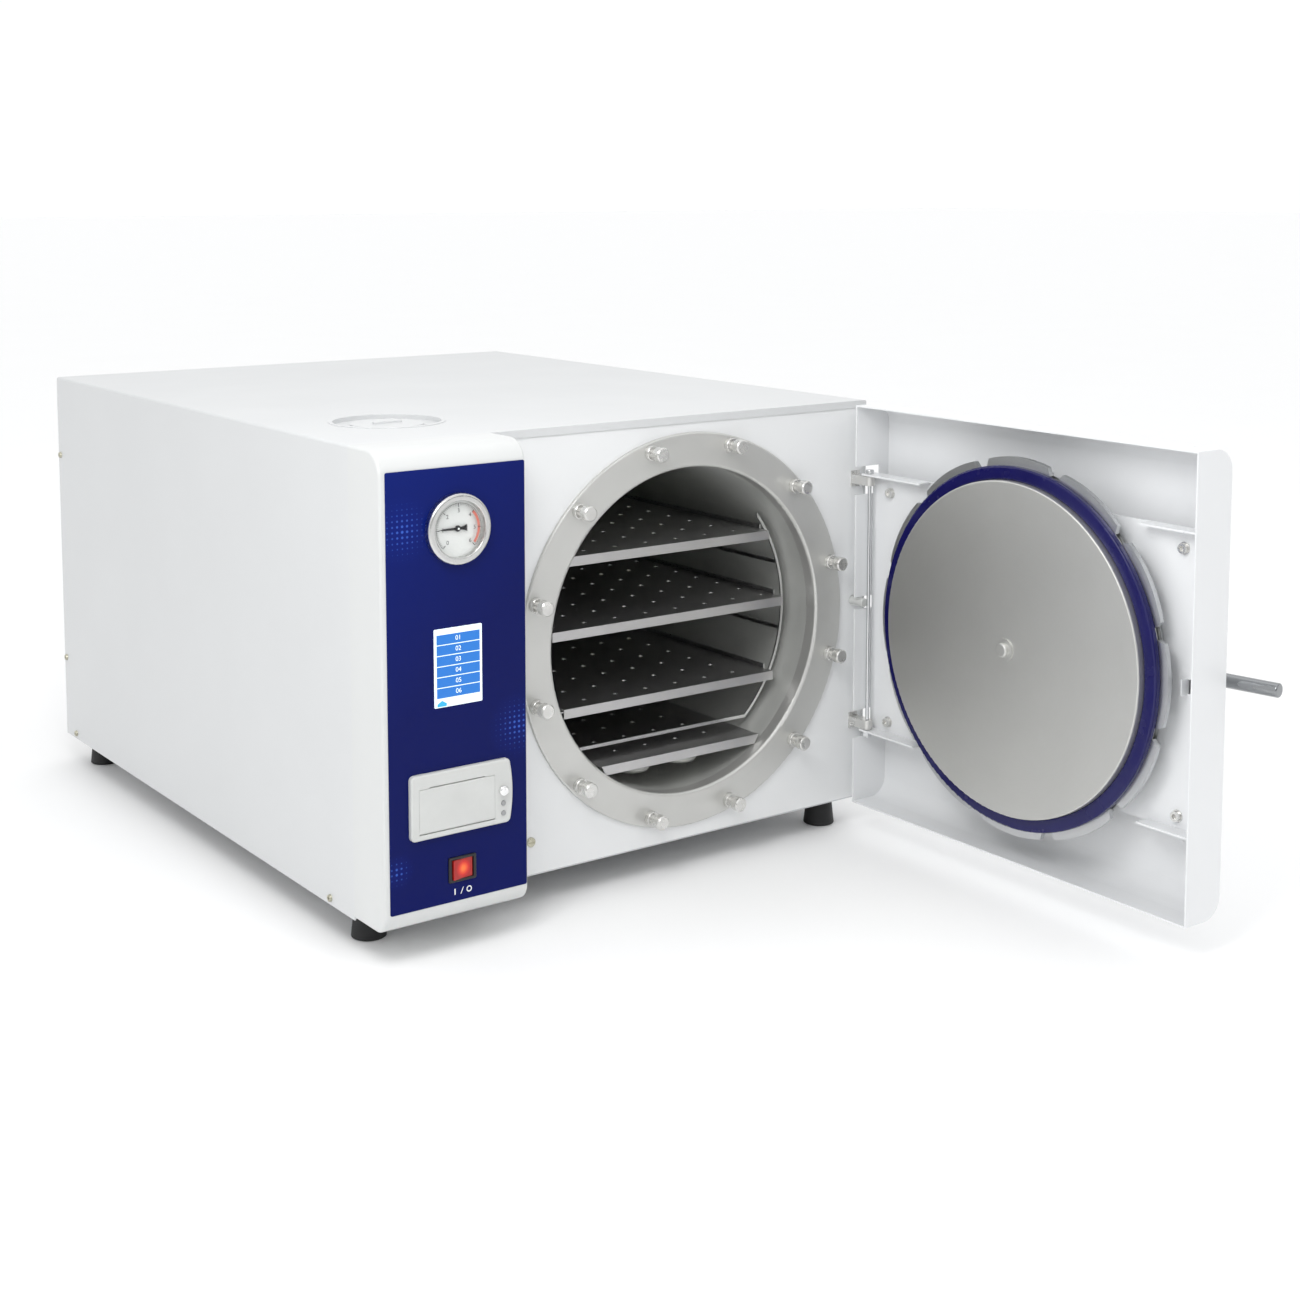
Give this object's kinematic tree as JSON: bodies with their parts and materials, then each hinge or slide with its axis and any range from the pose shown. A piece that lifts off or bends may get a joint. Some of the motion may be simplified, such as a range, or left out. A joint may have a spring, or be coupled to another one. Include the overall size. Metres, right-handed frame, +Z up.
{
  "type": "benchtop steam steriliser",
  "caption": "Benchtop steam steriliser: white cabinet with a control column, a round flanged chamber with sliding trays, and a side-hinged door with a turning lobed lock.",
  "frame": {"origin": "centre of the whole object's bounding box in plan, on the plane its feet stand on, with the door at rest (open square to the front)", "axes": "+Z up, +Y from the front (door side) to the back, +X to the right as seen by a user facing the front"},
  "size_m": [0.7064, 1.3404, 0.4928],
  "materials": {
    "cabinet_white": "satin powder coat, white",
    "panel_steel": "zinc-plated or mill sheet",
    "overlay_navy": "glossy printed film, navy blue",
    "ivory_plastic": "fine-grained, ivory",
    "black_plastic": "moulded, black",
    "grey_plastic": "moulded, dark grey",
    "red_plastic": "translucent red, lit",
    "white_dial": "printed dial",
    "clear_window": "clear, polished",
    "display_blue": "lit liquid-crystal screen",
    "satin_steel": "satin stainless steel",
    "bright_steel": "polished",
    "zinc": "yellow-passivated zinc",
    "navy_silicone": "glossy silicone, dark navy",
    "bronze": "oiled bearing bronze",
    "black_rubber": "matt rubber",
    "blanket": "woven insulation blanket",
    "paper": "thermal paper",
    "tank_plastic": "translucent natural polyethylene",
    "board_green": "coated circuit board",
    "brass": "machined",
    "copper_pipe": "drawn copper tube",
    "door_white": "semi-gloss paint, white"
  },
  "bodies": {
    "cabinet": {"baffle_plate": "satin_steel", "base_pan": "panel_steel", "cabinet_cover": "cabinet_white", "case_screws": "zinc", "chamber_shell": "satin_steel", "column_cover": "cabinet_white", "control_board": "board_green", "control_overlay": "overlay_navy", "display_window": "display_blue", "door_switch": "black_plastic", "fan_frame": "black_plastic", "filler_dish": "ivory_plastic", "flange_ring": "satin_steel", "front_panel": "cabinet_white", "gauge_case": "satin_steel", "gauge_dial": "white_dial", "gauge_window": "clear_window", "heater_elements": "satin_steel", "hinge_lugs": "satin_steel", "hose_spigots": "brass", "insulation_jacket": "blanket", "lock_studs": "bright_steel", "mains_inlet": "black_plastic", "power_supply": "panel_steel", "printer_housing": "ivory_plastic", "rear_panel": "panel_steel", "rubber_feet": "black_rubber", "safety_valve": "brass", "solenoid_valves": "brass", "steam_pipes": "copper_pipe", "support_frames": "panel_steel", "switch_bezel": "black_plastic", "tank_hose": "copper_pipe", "temperature_probe": "satin_steel", "tray_rack": "satin_steel", "water_tank": "tank_plastic"},
    "door": {"door_shell": "door_white", "door_plate": "door_white", "plate_bolts": "zinc", "door_disc": "satin_steel", "door_gasket": "navy_silicone", "hub_bearing": "bronze", "centre_spindle": "satin_steel", "hinge_rod": "bright_steel"},
    "lock": {"locking_ring": "satin_steel", "lock_lever": "bright_steel", "lever_boss": "bright_steel"},
    "upper_tray": {"tray_upper": "satin_steel"},
    "middle_tray": {"tray_middle": "satin_steel"},
    "lower_tray": {"tray_lower": "satin_steel"},
    "rocker": {"switch_rocker": "red_plastic"},
    "paper_lid": {"printer_lid": "ivory_plastic"},
    "knob": {"printer_knob": "grey_plastic"},
    "feed_button": {"printer_feed_button": "grey_plastic"},
    "power_button": {"printer_power_button": "grey_plastic"},
    "pointer": {"gauge_pointer": "black_plastic"},
    "tank_plug": {"filler_lid": "ivory_plastic"},
    "interlock_pin": {"door_switch_pin": "ivory_plastic"},
    "fan": {"fan_rotor": "black_plastic"},
    "roll": {"paper_roll": "paper"}
  },
  "joints": [
    {"name": "chamber_tray_lower", "type": "slide", "parent": "cabinet", "child": "lower_tray", "axis": [0, -1, 0], "range_m": [0, 0.3]},
    {"name": "chamber_tray_middle", "type": "slide", "parent": "cabinet", "child": "middle_tray", "axis": [0, -1, 0], "range_m": [0, 0.3]},
    {"name": "chamber_tray_upper", "type": "slide", "parent": "cabinet", "child": "upper_tray", "axis": [0, -1, 0], "range_m": [0, 0.3]},
    {"name": "door_lock_turn", "type": "hinge", "parent": "door", "child": "lock", "pos_m": [0.3165, -0.40425, 0.262], "axis": [-1, 0, 0], "range_deg": [-15, 0]},
    {"name": "door_swing", "type": "hinge", "parent": "cabinet", "child": "door", "pos_m": [0.28, -0.16925, 0.265], "axis": [0, 0, 1], "range_deg": [-90, 20]},
    {"name": "fan_spin", "type": "hinge", "parent": "cabinet", "child": "fan", "pos_m": [-0.25, 0.64575, 0.154], "axis": [0, 1, 0], "continuous": true},
    {"name": "filler_plug_lift", "type": "slide", "parent": "cabinet", "child": "tank_plug", "axis": [0, 0, 1], "range_m": [0, 0.05]},
    {"name": "gauge_pointer_turn", "type": "hinge", "parent": "cabinet", "child": "pointer", "pos_m": [-0.274, -0.21225, 0.414], "axis": [0, 1, 0], "range_deg": [-45, 225]},
    {"name": "interlock_pin_push", "type": "slide", "parent": "cabinet", "child": "interlock_pin", "axis": [0, 1, 0], "range_m": [0, 0.008], "stiffness_N_per_m": 150},
    {"name": "paper_roll_turn", "type": "hinge", "parent": "cabinet", "child": "roll", "pos_m": [-0.27875, -0.18025, 0.152], "axis": [1, 0, 0], "continuous": true},
    {"name": "printer_feed_push", "type": "slide", "parent": "cabinet", "child": "feed_button", "axis": [0, 1, 0], "range_m": [0, 0.001], "stiffness_N_per_m": 200},
    {"name": "printer_knob_turn", "type": "hinge", "parent": "cabinet", "child": "knob", "pos_m": [-0.229, -0.21225, 0.1555], "axis": [0, 1, 0], "continuous": true},
    {"name": "printer_lid_tip", "type": "hinge", "parent": "cabinet", "child": "paper_lid", "pos_m": [-0.27875, -0.20965, 0.1305], "axis": [1, 0, 0], "range_deg": [0, 75]},
    {"name": "printer_power_push", "type": "slide", "parent": "cabinet", "child": "power_button", "axis": [0, 1, 0], "range_m": [0, 0.001], "stiffness_N_per_m": 200},
    {"name": "switch_rock", "type": "hinge", "parent": "cabinet", "child": "rocker", "pos_m": [-0.272, -0.20375, 0.08625], "axis": [0, 0, 1], "range_deg": [0, 16]}
  ]
}
